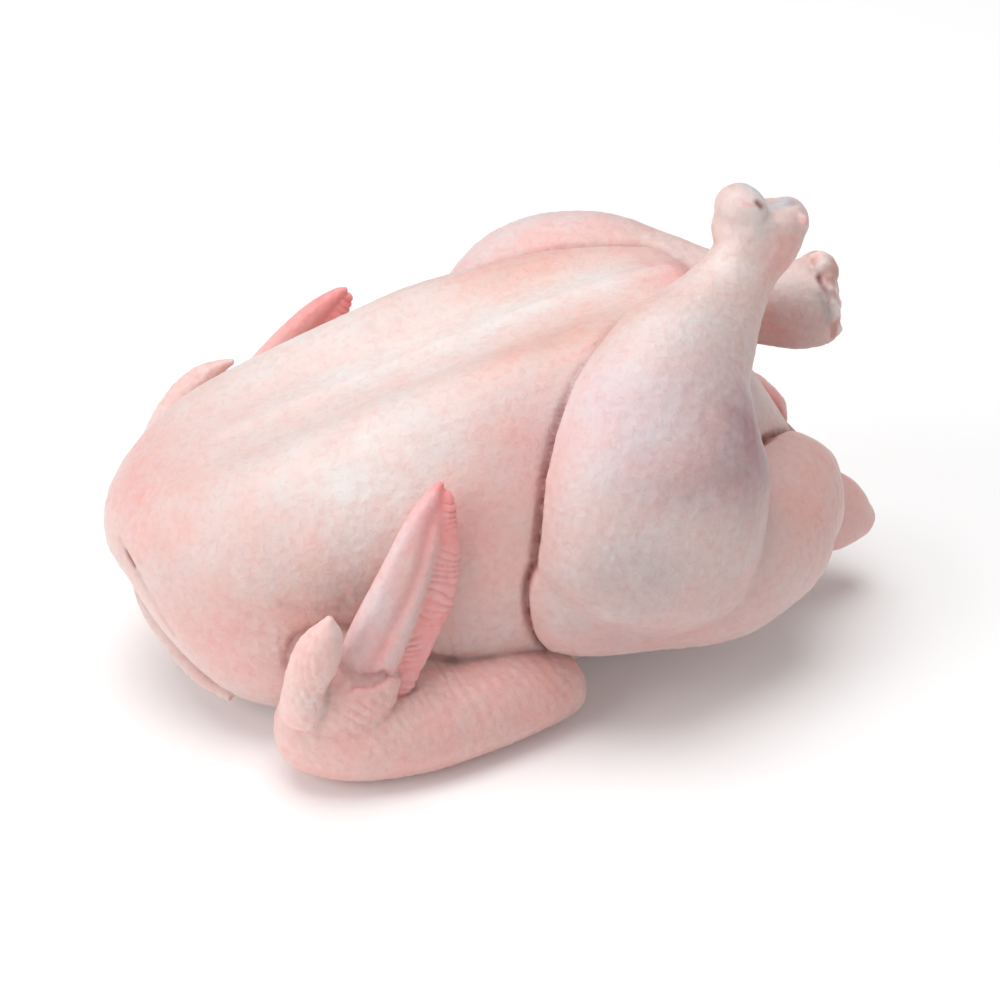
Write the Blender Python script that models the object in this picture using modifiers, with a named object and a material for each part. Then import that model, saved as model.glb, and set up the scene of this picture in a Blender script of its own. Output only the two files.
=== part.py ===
"""Whole raw chicken, lying on its back with the breast up and the legs folded.

Metres, +Z up. The neck end points to -X and the tail to +X. -Y is the bird's right side.
The origin is on the surface that the bird rests on, below the middle of its box.

Each muscle mass is a loft through a short table of stations. The masses are fused by a voxel
remesh, opened at the vent, smoothed as skin smooths them, and thinned to a light solid. Its
underside is flat where the bird's own weight presses it on a table.
"""

import math

import bmesh
import bpy
import numpy as np
from mathutils import Matrix, Vector

# Driving dimensions. Every table below is drawn for a bird of TABLE_LENGTH, neck end to tail.
TABLE_LENGTH = 0.247
BIRD_LENGTH = 0.247
SIZE = BIRD_LENGTH / TABLE_LENGTH

# Resolution of the fused skin, and how far the light solid is thinned.
VOXEL = 0.0017
SMOOTH_ROUNDS = 2
MOST_TRIANGLES = 11500

# Rings of a loft: points around, and rings between two stations.
RING_POINTS = 40
RINGS_BETWEEN = 6

RIGHT, LEFT = -1, 1
STRAIGHT = (0.0, 0.0, 0.0)

# Torso stations: x, half width, height of the widest line, of the keel and of the back, how far
# the two breast lobes stand out, how deep the valleys beside the keel are, and how square the
# back is.
TORSO = (
    (-0.1250, 0.006, 0.0500, 0.0540, 0.0465, 0.0000, 0.0000, 2.2),
    (-0.1215, 0.020, 0.0495, 0.0608, 0.0425, 0.0000, 0.0000, 2.2),
    (-0.1115, 0.037, 0.0460, 0.0702, 0.0250, 0.0012, 0.0000, 2.6),
    (-0.0950, 0.0515, 0.0445, 0.0780, 0.0065, 0.0035, 0.0012, 3.1),
    (-0.0720, 0.0600, 0.0440, 0.0858, -0.0005, 0.0060, 0.0030, 3.1),
    (-0.0450, 0.063, 0.0460, 0.0950, -0.0012, 0.0078, 0.0040, 2.8),
    (-0.0200, 0.064, 0.0480, 0.1036, -0.0015, 0.0080, 0.0044, 2.5),
    (0.0050, 0.062, 0.0500, 0.1110, -0.0015, 0.0066, 0.0040, 2.3),
    (0.0300, 0.056, 0.0520, 0.1175, -0.0010, 0.0045, 0.0030, 2.2),
    (0.0480, 0.049, 0.0520, 0.1203, 0.0005, 0.0022, 0.0022, 2.1),
    (0.0580, 0.044, 0.0510, 0.1190, 0.0020, 0.0008, 0.0010, 2.1),
    (0.0650, 0.041, 0.0500, 0.1080, 0.0035, 0.0000, 0.0000, 2.1),
    (0.0760, 0.036, 0.0480, 0.0890, 0.0065, 0.0000, 0.0000, 2.1),
    (0.0900, 0.029, 0.0440, 0.0690, 0.0110, 0.0000, 0.0000, 2.1),
    (0.1000, 0.022, 0.0400, 0.0540, 0.0150, 0.0000, 0.0000, 2.1),
    (0.1080, 0.012, 0.0360, 0.0440, 0.0220, 0.0000, 0.0000, 2.1),
)
BREAST_SQUARENESS = 2.7
LOBE_CENTRE, LOBE_WIDTH = 0.036, 0.019
VALLEY_CENTRE, VALLEY_WIDTH = 0.0150, 0.0090
RIGHT_VALLEY_SHARE = 0.6
DRUMSTICK_SQUARENESS = 2.3

# Limb stations: x, sideways distance from the bird's mid-plane, z, half thickness along the
# limb's facing direction, and half width across it.
DRUMSTICK_RIGHT = (
    (0.0240, 0.0560, 0.0350, 0.0150, 0.0200),
    (0.0270, 0.0572, 0.0480, 0.0255, 0.0330),
    (0.0300, 0.0572, 0.0620, 0.0275, 0.0355),
    (0.0336, 0.0535, 0.0790, 0.0272, 0.0350),
    (0.0378, 0.0468, 0.0930, 0.0248, 0.0310),
    (0.0455, 0.0375, 0.1050, 0.0200, 0.0240),
    (0.0555, 0.0290, 0.1135, 0.0155, 0.0175),
    (0.0642, 0.0220, 0.1207, 0.0118, 0.0127),
    (0.0714, 0.0170, 0.1273, 0.0102, 0.0107),
    (0.0772, 0.0130, 0.1336, 0.0102, 0.0128),
    (0.0792, 0.0110, 0.1395, 0.0102, 0.0135),
    (0.0792, 0.0105, 0.1430, 0.0075, 0.0100),
)
DRUMSTICK_LEFT = (
    (0.0150, 0.0560, 0.0350, 0.0150, 0.0200),
    (0.0175, 0.0568, 0.0480, 0.0255, 0.0320),
    (0.0205, 0.0562, 0.0650, 0.0275, 0.0342),
    (0.0280, 0.0510, 0.0855, 0.0260, 0.0322),
    (0.0415, 0.0415, 0.0968, 0.0215, 0.0246),
    (0.0590, 0.0290, 0.1008, 0.0150, 0.0156),
    (0.0740, 0.0190, 0.1003, 0.0122, 0.0124),
    (0.0870, 0.0120, 0.0995, 0.0122, 0.0130),
    (0.0965, 0.0075, 0.0995, 0.0132, 0.0138),
    (0.1046, 0.0042, 0.1003, 0.0134, 0.0140),
    (0.1088, 0.0028, 0.1008, 0.0122, 0.0128),
    (0.1100, 0.0024, 0.1010, 0.0104, 0.0108),
)
THIGH = (
    (-0.0080, 0.0545, 0.0440, 0.0070, 0.0110),
    (-0.0010, 0.0550, 0.0450, 0.0165, 0.0200),
    (0.0130, 0.0535, 0.0465, 0.0225, 0.0250),
    (0.0330, 0.0490, 0.0465, 0.0257, 0.0277),
    (0.0540, 0.0438, 0.0455, 0.0268, 0.0302),
    (0.0720, 0.0367, 0.0475, 0.0242, 0.0287),
    (0.0854, 0.0305, 0.0514, 0.0192, 0.0230),
    (0.0950, 0.0270, 0.0524, 0.0137, 0.0164),
    (0.1000, 0.0255, 0.0525, 0.0060, 0.0090),
)
UPPER_WING = (
    (-0.0780, 0.0400, 0.0420, 0.0100, 0.0130),
    (-0.0660, 0.0460, 0.0370, 0.0170, 0.0200),
    (-0.0420, 0.0500, 0.0240, 0.0150, 0.0170),
    (-0.0150, 0.0520, 0.0150, 0.0105, 0.0120),
    (0.0010, 0.0545, 0.0125, 0.0085, 0.0095),
    (0.0065, 0.0550, 0.0125, 0.0040, 0.0050),
)
FOREARM = (
    (0.0072, 0.0570, 0.0130, 0.0074, 0.0068),
    (0.0046, 0.0580, 0.0130, 0.0106, 0.0096),
    (-0.0070, 0.0610, 0.0135, 0.0125, 0.0130),
    (-0.0240, 0.0655, 0.0135, 0.0138, 0.0160),
    (-0.0430, 0.0695, 0.0135, 0.0145, 0.0180),
    (-0.0600, 0.0710, 0.0145, 0.0150, 0.0180),
    (-0.0730, 0.0705, 0.0165, 0.0145, 0.0160),
    (-0.0820, 0.0695, 0.0185, 0.0110, 0.0115),
    (-0.0860, 0.0690, 0.0195, 0.0050, 0.0060),
)
HAND = (
    (-0.0800, 0.0715, 0.0220, 0.0080, 0.0090),
    (-0.0730, 0.0745, 0.0270, 0.0100, 0.0130),
    (-0.0640, 0.0770, 0.0330, 0.0080, 0.0126),
    (-0.0572, 0.0765, 0.0408, 0.0048, 0.0094),
)
DIGIT = (
    (-0.0670, 0.0775, 0.0300, 0.0060, 0.0080),
    (-0.0600, 0.0765, 0.0410, 0.0058, 0.0088),
    (-0.0520, 0.0735, 0.0560, 0.0052, 0.0082),
    (-0.0450, 0.0705, 0.0700, 0.0046, 0.0067),
    (-0.0390, 0.0675, 0.0820, 0.0036, 0.0046),
    (-0.0350, 0.0652, 0.0895, 0.0020, 0.0020),
    (-0.0340, 0.0645, 0.0915, 0.0008, 0.0008),
)
FLAP = (
    (-0.0560, 0.0750, 0.0310, 0.0028, 0.0085),
    (-0.0488, 0.0732, 0.0425, 0.0028, 0.0092),
    (-0.0417, 0.0702, 0.0570, 0.0027, 0.0094),
    (-0.0372, 0.0681, 0.0700, 0.0025, 0.0074),
    (-0.0350, 0.0666, 0.0810, 0.0022, 0.0043),
    (-0.0340, 0.0652, 0.0890, 0.0016, 0.0018),
)
THUMB = (
    (-0.0785, 0.0770, 0.0270, 0.0080, 0.0085),
    (-0.0797, 0.0815, 0.0380, 0.0062, 0.0064),
    (-0.0767, 0.0835, 0.0480, 0.0058, 0.0070),
    (-0.0734, 0.0845, 0.0565, 0.0044, 0.0052),
    (-0.0724, 0.0845, 0.0610, 0.0020, 0.0022),
    (-0.0720, 0.0845, 0.0630, 0.0008, 0.0008),
)
# The left wing is folded a little further forward, and its tip stands off the breast.
LEFT_WING_SHIFT = (-0.0190, 0.0000, 0.0020)
LEFT_TIP_LEAN = (0.0190, 0.0060, -0.0030)
LEFT_THUMB_LEAN = (0.0215, 0.0000, -0.0030)
# The left thigh ends a little lower and further in than the right one.
LEFT_THIGH_LEAN = (0.0000, 0.0000, -0.0098)

TAIL = (
    (0.0850, 0.0, 0.0330, 0.0150, 0.0250),
    (0.1000, 0.0, 0.0300, 0.0140, 0.0200),
    (0.1120, 0.0, 0.0268, 0.0118, 0.0145),
    (0.1198, 0.0, 0.0245, 0.0068, 0.0086),
    (0.1238, 0.0, 0.0242, 0.0025, 0.0034),
)
# The edge of the neck skin, folded under the front of the bird.
NECK_FOLD = (
    (-0.1135, -0.014, 0.0320, 0.0020, 0.0040),
    (-0.1110, -0.002, 0.0250, 0.0030, 0.0060),
    (-0.1060, 0.012, 0.0200, 0.0030, 0.0065),
    (-0.1000, 0.027, 0.0155, 0.0030, 0.0060),
    (-0.0920, 0.038, 0.0130, 0.0025, 0.0050),
)

# Rounded ends of the leg bones: x, sideways distance, z, and the three radii.
HOCK_RIGHT = (
    (0.0704, 0.0137, 0.1450, 0.0080, 0.0085, 0.0072),
    (0.0712, 0.0134, 0.1385, 0.0094, 0.0088, 0.0105),
    (0.0874, 0.0085, 0.1362, 0.0070, 0.0080, 0.0078),
)
HOCK_LEFT = (
    (0.1036, 0.0060, 0.1108, 0.0066, 0.0085, 0.0062),
    (0.1046, 0.0032, 0.0922, 0.0062, 0.0085, 0.0056),
)

# The vent: a hollow that opens between the thighs, above the tail.
VENT = (
    (0.0480, 0.0, 0.0560, 0.0090, 0.0090),
    (0.0560, 0.0, 0.0570, 0.0185, 0.0170),
    (0.0720, 0.0, 0.0590, 0.0205, 0.0195),
    (0.0880, 0.0, 0.0610, 0.0190, 0.0185),
    (0.1000, 0.0, 0.0650, 0.0215, 0.0205),
    (0.1250, 0.0, 0.0740, 0.0270, 0.0240),
)

# Skin: cream-pink, half matt, as the photo shows it.
SKIN_COLOUR = (0.76, 0.50, 0.43, 1.0)
SKIN_ROUGHNESS = 0.48


def clear_scene():
    """Removes the objects and collections that the file opened with."""
    for old in list(bpy.data.objects):
        bpy.data.objects.remove(old)
    for old in list(bpy.data.collections):
        bpy.data.collections.remove(old)


def collection(name):
    made = bpy.data.collections.new(name)
    bpy.context.scene.collection.children.link(made)
    return made


def smooth_rows(stations, between=RINGS_BETWEEN):
    """The stations as an array, with rows added between them on Catmull-Rom curves."""
    rows = np.array(stations, float)
    padded = np.vstack([2 * rows[0] - rows[1], rows, 2 * rows[-1] - rows[-2]])
    made = []
    for before, start, end, after in zip(padded, padded[1:], padded[2:], padded[3:]):
        for t in np.arange(between) / between:
            made.append(
                0.5 * (2 * start + (end - before) * t
                       + (2 * before - 5 * start + 4 * end - after) * t ** 2
                       + (3 * start - before - 3 * end + after) * t ** 3)
            )
    made.append(rows[-1])
    return np.array(made)


def object_from(shape, name, where):
    mesh = bpy.data.meshes.new(name)
    shape.to_mesh(mesh)
    shape.free()
    body = bpy.data.objects.new(name, mesh)
    where.objects.link(body)
    return body


def loft(name, rings, where):
    """A closed body through rings of points, with a face across each end."""
    shape = bmesh.new()
    verts = [[shape.verts.new(point) for point in ring] for ring in rings]
    for here, there in zip(verts, verts[1:]):
        for i in range(len(here)):
            j = (i + 1) % len(here)
            shape.faces.new((here[i], here[j], there[j], there[i]))
    shape.faces.new(verts[0][::-1])
    shape.faces.new(verts[-1])
    bmesh.ops.recalc_face_normals(shape, faces=shape.faces)
    return object_from(shape, name, where)


def ball(name, centre, radii, where):
    """A bone end: a sphere scaled to three radii."""
    shape = bmesh.new()
    place = Matrix.Translation(centre) @ Matrix.Diagonal((*radii, 1.0))
    bmesh.ops.create_uvsphere(shape, u_segments=24, v_segments=16, radius=1.0, matrix=place)
    return object_from(shape, name, where)


def squared(value, squareness):
    return math.copysign(abs(value) ** (2 / squareness), value)


def torso_ring(row):
    """One section of the torso: a square-shouldered oval with two lobes and a keel."""
    x, half_width, widest, keel, back, lobe, valley, back_squareness = row
    ring = []
    for i in range(2 * RING_POINTS):
        angle = math.tau * i / (2 * RING_POINTS)
        across, rise = math.cos(angle), math.sin(angle)
        squareness = BREAST_SQUARENESS if rise > 0 else back_squareness
        y = half_width * squared(across, squareness)
        if rise > 0:
            z = widest + (keel - widest) * squared(rise, squareness)
            z += lobe * math.exp(-(((abs(y) - LOBE_CENTRE) / LOBE_WIDTH) ** 2)) * rise
            deep = valley * (RIGHT_VALLEY_SHARE if y < 0 else 1)
            z -= deep * math.exp(-(((abs(y) - VALLEY_CENTRE) / VALLEY_WIDTH) ** 2))
        else:
            z = widest + (widest - back) * squared(rise, squareness)
        ring.append((x, y, z))
    return ring


def limb_rings(stations, facing, side=RIGHT, squareness=2.0):
    """Oval rings along a limb. Its thickness is measured along facing, and its width across."""
    rows = smooth_rows(stations)
    rows[:, 1] *= side
    facing = Vector((facing[0], facing[1] * -side, facing[2]))
    spine = [Vector(row[:3]) for row in rows]
    rings = []
    for i, row in enumerate(rows):
        along = (spine[min(i + 1, len(rows) - 1)] - spine[max(i - 1, 0)]).normalized()
        thick = (facing - facing.dot(along) * along).normalized()
        wide = along.cross(thick)
        rings.append([
            spine[i]
            + thick * row[3] * squared(math.cos(math.tau * k / RING_POINTS), squareness)
            + wide * row[4] * squared(math.sin(math.tau * k / RING_POINTS), squareness)
            for k in range(RING_POINTS)
        ])
    return rings


def moved(stations, shift, lean):
    """The stations shifted, with the far end leaned over by a further distance."""
    rows = np.array(stations, float)
    share = np.linspace(0, 1, len(rows))[:, None]
    rows[:, :3] += np.array(shift) + share * np.array(lean)
    return rows


def body_masses(where):
    """Every mass of flesh and bone, each its own closed body."""
    masses = [
        loft("torso", [torso_ring(row) for row in smooth_rows(TORSO)], where),
        loft("tail", limb_rings(TAIL, (0, 0, 1)), where),
        loft("neck_fold", limb_rings(NECK_FOLD, (-0.6, -0.4, 0.7)), where),
    ]
    wing = (
        ("upper_wing", UPPER_WING, (0, -1, 0.5), STRAIGHT),
        ("forearm", FOREARM, (0, 0, 1), STRAIGHT),
        ("hand", HAND, (-0.2, -1, 0.4), STRAIGHT),
        ("digit", DIGIT, (-0.2, -1, 0.3), LEFT_TIP_LEAN),
        ("flap", FLAP, (0.1, -1, 0.3), LEFT_TIP_LEAN),
        ("thumb", THUMB, (-0.3, -1, 0.3), LEFT_THUMB_LEAN),
    )
    for side, thigh, drumstick, hock in (
        (RIGHT, THIGH, DRUMSTICK_RIGHT, HOCK_RIGHT),
        (LEFT, moved(THIGH, STRAIGHT, LEFT_THIGH_LEAN), DRUMSTICK_LEFT, HOCK_LEFT),
    ):
        word = "right" if side == RIGHT else "left"
        masses.append(loft(f"{word}_thigh", limb_rings(thigh, (0, -1, 0), side), where))
        rings = limb_rings(drumstick, (0, -1, 0.2), side, DRUMSTICK_SQUARENESS)
        masses.append(loft(f"{word}_drumstick", rings, where))
        for x, out, z, *radii in hock:
            masses.append(ball(f"{word}_hock", (x, out * side, z), radii, where))
        for part, stations, facing, lean in wing:
            if side == LEFT:
                stations = moved(stations, LEFT_WING_SHIFT, lean)
            masses.append(loft(f"{word}_{part}", limb_rings(stations, facing, side), where))
    return masses


def add_modifier(body, name, kind, **settings):
    modifier = body.modifiers.new(name, kind)
    for key, value in settings.items():
        setattr(modifier, key, value)


def applied(body):
    """Replaces the object's mesh by what its modifiers make of it."""
    graph = bpy.context.evaluated_depsgraph_get()
    mesh = bpy.data.meshes.new_from_object(body.evaluated_get(graph))
    body.modifiers.clear()
    body.data = mesh


def fuse(masses, name, where):
    """One closed skin around all the masses."""
    joined = bmesh.new()
    for mass in masses:
        joined.from_mesh(mass.data)
    for mass in masses:
        bpy.data.objects.remove(mass)
    body = object_from(joined, name, where)
    add_modifier(body, "skin", "REMESH", mode="VOXEL", voxel_size=VOXEL)
    applied(body)
    return body


def thin(body):
    """Fewer triangles, kept where the skin curves most."""
    count = sum(len(face.vertices) - 2 for face in body.data.polygons)
    add_modifier(body, "light", "DECIMATE", ratio=min(1.0, MOST_TRIANGLES / count))
    applied(body)


def set_down(body):
    """Cuts the underside flat at z = 0, and puts the middle of the box over the origin."""
    shape = bmesh.new()
    shape.from_mesh(body.data)
    cut = bmesh.ops.bisect_plane(
        shape, geom=shape.verts[:] + shape.edges[:] + shape.faces[:], dist=1e-6,
        plane_co=(0, 0, 0), plane_no=(0, 0, 1), clear_inner=True,
    )
    rim = [edge for edge in cut["geom_cut"] if isinstance(edge, bmesh.types.BMEdge)]
    bmesh.ops.holes_fill(shape, edges=rim)
    points = np.array([vert.co for vert in shape.verts])
    middle = (points.min(axis=0) + points.max(axis=0)) / 2
    bmesh.ops.translate(shape, verts=shape.verts, vec=(-middle[0], -middle[1], 0))
    bmesh.ops.scale(shape, verts=shape.verts, vec=(SIZE, SIZE, SIZE))
    shape.to_mesh(body.data)
    shape.free()


def skin_material():
    material = bpy.data.materials.new("skin")
    material.use_nodes = True
    shader = material.node_tree.nodes["Principled BSDF"]
    shader.inputs["Base Color"].default_value = SKIN_COLOUR
    shader.inputs["Roughness"].default_value = SKIN_ROUGHNESS
    shader.inputs["Metallic"].default_value = 0.0
    return material


def build():
    clear_scene()
    parts, cutters = collection("whole_chicken"), collection("cutters")
    bird = fuse(body_masses(parts), "chicken", parts)
    vent = loft("vent_cutter", limb_rings(VENT, (0, 0, 1)), cutters)
    vent.hide_render = True
    vent.display_type = "WIRE"
    add_modifier(bird, "vent", "BOOLEAN", operation="DIFFERENCE", object=vent, solver="EXACT")
    add_modifier(bird, "rounding", "SMOOTH", factor=0.5, iterations=SMOOTH_ROUNDS)
    applied(bird)
    thin(bird)
    set_down(bird)
    bird.data.materials.append(skin_material())
    bird.data.shade_smooth()
    return bird


build()
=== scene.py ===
"""Whole raw chicken on a white table.

The bird is built from the same tables as its solid, on a finer skin. The skin then gets its relief
(folds, follicles, wrinkles, bone ends) and its colours (cream, pink, salmon, lilac) by place.
"""

import math
from itertools import product

import bmesh
import bpy
import numpy as np
from mathutils import Matrix, Vector, bvhtree, kdtree


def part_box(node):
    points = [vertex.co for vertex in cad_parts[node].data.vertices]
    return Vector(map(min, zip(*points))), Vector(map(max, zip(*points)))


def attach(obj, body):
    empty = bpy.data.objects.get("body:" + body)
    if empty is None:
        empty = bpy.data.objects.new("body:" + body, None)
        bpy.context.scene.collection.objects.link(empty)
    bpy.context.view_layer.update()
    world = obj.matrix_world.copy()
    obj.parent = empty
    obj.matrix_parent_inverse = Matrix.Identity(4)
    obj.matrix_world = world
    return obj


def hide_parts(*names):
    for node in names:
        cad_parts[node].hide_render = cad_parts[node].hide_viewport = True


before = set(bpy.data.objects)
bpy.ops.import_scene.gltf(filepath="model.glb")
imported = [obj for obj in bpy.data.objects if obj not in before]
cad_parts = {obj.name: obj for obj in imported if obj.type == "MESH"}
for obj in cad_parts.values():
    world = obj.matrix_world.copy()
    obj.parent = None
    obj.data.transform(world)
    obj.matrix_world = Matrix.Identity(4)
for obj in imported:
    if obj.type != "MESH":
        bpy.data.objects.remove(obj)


def note_size():
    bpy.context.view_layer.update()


note_size()

# ---------------------------------------------------------------- the solid's own tables

# The size of the fused skin's faces, and how often it is smoothed.
VOXEL = 0.0009
SMOOTH_ROUNDS = 2

# Points round a section, and sections from one station to the next.
RING_POINTS = 40
RINGS_BETWEEN = 6

RIGHT, LEFT = -1, 1
STRAIGHT = (0.0, 0.0, 0.0)

# Torso stations: x, half width, height of the widest line, of the keel and of the back, how far
# the two breast lobes stand out, how deep the valleys beside the keel are, and how square the
# back is.
TORSO = (
    (-0.1250, 0.006, 0.0500, 0.0540, 0.0465, 0.0000, 0.0000, 2.2),
    (-0.1215, 0.020, 0.0495, 0.0608, 0.0425, 0.0000, 0.0000, 2.2),
    (-0.1115, 0.037, 0.0460, 0.0702, 0.0250, 0.0012, 0.0000, 2.6),
    (-0.0950, 0.0515, 0.0445, 0.0780, 0.0065, 0.0035, 0.0012, 3.1),
    (-0.0720, 0.0600, 0.0440, 0.0858, -0.0005, 0.0060, 0.0030, 3.1),
    (-0.0450, 0.063, 0.0460, 0.0950, -0.0012, 0.0078, 0.0040, 2.8),
    (-0.0200, 0.064, 0.0480, 0.1036, -0.0015, 0.0080, 0.0044, 2.5),
    (0.0050, 0.062, 0.0500, 0.1110, -0.0015, 0.0066, 0.0040, 2.3),
    (0.0300, 0.056, 0.0520, 0.1175, -0.0010, 0.0045, 0.0030, 2.2),
    (0.0480, 0.049, 0.0520, 0.1203, 0.0005, 0.0022, 0.0022, 2.1),
    (0.0580, 0.044, 0.0510, 0.1190, 0.0020, 0.0008, 0.0010, 2.1),
    (0.0650, 0.041, 0.0500, 0.1080, 0.0035, 0.0000, 0.0000, 2.1),
    (0.0760, 0.036, 0.0480, 0.0890, 0.0065, 0.0000, 0.0000, 2.1),
    (0.0900, 0.029, 0.0440, 0.0690, 0.0110, 0.0000, 0.0000, 2.1),
    (0.1000, 0.022, 0.0400, 0.0540, 0.0150, 0.0000, 0.0000, 2.1),
    (0.1080, 0.012, 0.0360, 0.0440, 0.0220, 0.0000, 0.0000, 2.1),
)
BREAST_SQUARENESS = 2.7
DRUMSTICK_SQUARENESS = 2.3
# The breast lobes and the valleys beside the keel: distance from the mid-plane, and width.
LOBE_CENTRE, LOBE_WIDTH = 0.036, 0.019
VALLEY_CENTRE, VALLEY_WIDTH = 0.0150, 0.0090
RIGHT_VALLEY_SHARE = 0.6

# Limb stations: x, sideways distance from the bird's mid-plane, z, half thickness along the
# limb's facing direction, and half width across it.
DRUMSTICK_RIGHT = (
    (0.0240, 0.0560, 0.0350, 0.0150, 0.0200),
    (0.0270, 0.0572, 0.0480, 0.0255, 0.0330),
    (0.0300, 0.0572, 0.0620, 0.0275, 0.0355),
    (0.0336, 0.0535, 0.0790, 0.0272, 0.0350),
    (0.0378, 0.0468, 0.0930, 0.0248, 0.0310),
    (0.0455, 0.0375, 0.1050, 0.0200, 0.0240),
    (0.0555, 0.0290, 0.1135, 0.0155, 0.0175),
    (0.0642, 0.0220, 0.1207, 0.0118, 0.0127),
    (0.0714, 0.0170, 0.1273, 0.0102, 0.0107),
    (0.0772, 0.0130, 0.1336, 0.0102, 0.0128),
    (0.0792, 0.0110, 0.1395, 0.0102, 0.0135),
    (0.0792, 0.0105, 0.1430, 0.0075, 0.0100),
)
DRUMSTICK_LEFT = (
    (0.0150, 0.0560, 0.0350, 0.0150, 0.0200),
    (0.0175, 0.0568, 0.0480, 0.0255, 0.0320),
    (0.0205, 0.0562, 0.0650, 0.0275, 0.0342),
    (0.0280, 0.0510, 0.0855, 0.0260, 0.0322),
    (0.0415, 0.0415, 0.0968, 0.0215, 0.0246),
    (0.0590, 0.0290, 0.1008, 0.0150, 0.0156),
    (0.0740, 0.0190, 0.1003, 0.0122, 0.0124),
    (0.0870, 0.0120, 0.0995, 0.0122, 0.0130),
    (0.0965, 0.0075, 0.0995, 0.0132, 0.0138),
    (0.1046, 0.0042, 0.1003, 0.0134, 0.0140),
    (0.1088, 0.0028, 0.1008, 0.0122, 0.0128),
    (0.1100, 0.0024, 0.1010, 0.0104, 0.0108),
)
THIGH = (
    (-0.0080, 0.0545, 0.0440, 0.0070, 0.0110),
    (-0.0010, 0.0550, 0.0450, 0.0165, 0.0200),
    (0.0130, 0.0535, 0.0465, 0.0225, 0.0250),
    (0.0330, 0.0490, 0.0465, 0.0257, 0.0277),
    (0.0540, 0.0438, 0.0455, 0.0268, 0.0302),
    (0.0720, 0.0367, 0.0475, 0.0242, 0.0287),
    (0.0854, 0.0305, 0.0514, 0.0192, 0.0230),
    (0.0950, 0.0270, 0.0524, 0.0137, 0.0164),
    (0.1000, 0.0255, 0.0525, 0.0060, 0.0090),
)
UPPER_WING = (
    (-0.0780, 0.0400, 0.0420, 0.0100, 0.0130),
    (-0.0660, 0.0460, 0.0370, 0.0170, 0.0200),
    (-0.0420, 0.0500, 0.0240, 0.0150, 0.0170),
    (-0.0150, 0.0520, 0.0150, 0.0105, 0.0120),
    (0.0010, 0.0545, 0.0125, 0.0085, 0.0095),
    (0.0065, 0.0550, 0.0125, 0.0040, 0.0050),
)
FOREARM = (
    (0.0072, 0.0570, 0.0130, 0.0074, 0.0068),
    (0.0046, 0.0580, 0.0130, 0.0106, 0.0096),
    (-0.0070, 0.0610, 0.0135, 0.0125, 0.0130),
    (-0.0240, 0.0655, 0.0135, 0.0138, 0.0160),
    (-0.0430, 0.0695, 0.0135, 0.0145, 0.0180),
    (-0.0600, 0.0710, 0.0145, 0.0150, 0.0180),
    (-0.0730, 0.0705, 0.0165, 0.0145, 0.0160),
    (-0.0820, 0.0695, 0.0185, 0.0110, 0.0115),
    (-0.0860, 0.0690, 0.0195, 0.0050, 0.0060),
)
HAND = (
    (-0.0800, 0.0715, 0.0220, 0.0080, 0.0090),
    (-0.0730, 0.0745, 0.0270, 0.0100, 0.0130),
    (-0.0640, 0.0770, 0.0330, 0.0080, 0.0126),
    (-0.0572, 0.0765, 0.0408, 0.0048, 0.0094),
)
DIGIT = (
    (-0.0670, 0.0775, 0.0300, 0.0060, 0.0080),
    (-0.0600, 0.0765, 0.0410, 0.0058, 0.0088),
    (-0.0520, 0.0735, 0.0560, 0.0052, 0.0082),
    (-0.0450, 0.0705, 0.0700, 0.0046, 0.0067),
    (-0.0390, 0.0675, 0.0820, 0.0036, 0.0046),
    (-0.0350, 0.0652, 0.0895, 0.0020, 0.0020),
    (-0.0340, 0.0645, 0.0915, 0.0008, 0.0008),
)
FLAP = (
    (-0.0560, 0.0750, 0.0310, 0.0028, 0.0085),
    (-0.0488, 0.0732, 0.0425, 0.0028, 0.0092),
    (-0.0417, 0.0702, 0.0570, 0.0027, 0.0094),
    (-0.0372, 0.0681, 0.0700, 0.0025, 0.0074),
    (-0.0350, 0.0666, 0.0810, 0.0022, 0.0043),
    (-0.0340, 0.0652, 0.0890, 0.0016, 0.0018),
)
THUMB = (
    (-0.0785, 0.0770, 0.0270, 0.0080, 0.0085),
    (-0.0797, 0.0815, 0.0380, 0.0062, 0.0064),
    (-0.0767, 0.0835, 0.0480, 0.0058, 0.0070),
    (-0.0734, 0.0845, 0.0565, 0.0044, 0.0052),
    (-0.0724, 0.0845, 0.0610, 0.0020, 0.0022),
    (-0.0720, 0.0845, 0.0630, 0.0008, 0.0008),
)
# The left wing is folded a little further forward, and its tip stands off the breast.
LEFT_WING_SHIFT = (-0.0190, 0.0000, 0.0020)
LEFT_TIP_LEAN = (0.0190, 0.0060, -0.0030)
LEFT_THUMB_LEAN = (0.0215, 0.0000, -0.0030)
# The left thigh ends a little lower than the right one.
LEFT_THIGH_LEAN = (0.0000, 0.0000, -0.0098)

TAIL = (
    (0.0850, 0.0, 0.0330, 0.0150, 0.0250),
    (0.1000, 0.0, 0.0300, 0.0140, 0.0200),
    (0.1120, 0.0, 0.0268, 0.0118, 0.0145),
    (0.1198, 0.0, 0.0245, 0.0068, 0.0086),
    (0.1238, 0.0, 0.0242, 0.0025, 0.0034),
)
# The edge of the neck skin, folded under the front of the bird.
NECK_FOLD = (
    (-0.1135, -0.014, 0.0320, 0.0020, 0.0040),
    (-0.1110, -0.002, 0.0250, 0.0030, 0.0060),
    (-0.1060, 0.012, 0.0200, 0.0030, 0.0065),
    (-0.1000, 0.027, 0.0155, 0.0030, 0.0060),
    (-0.0920, 0.038, 0.0130, 0.0025, 0.0050),
)

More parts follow.
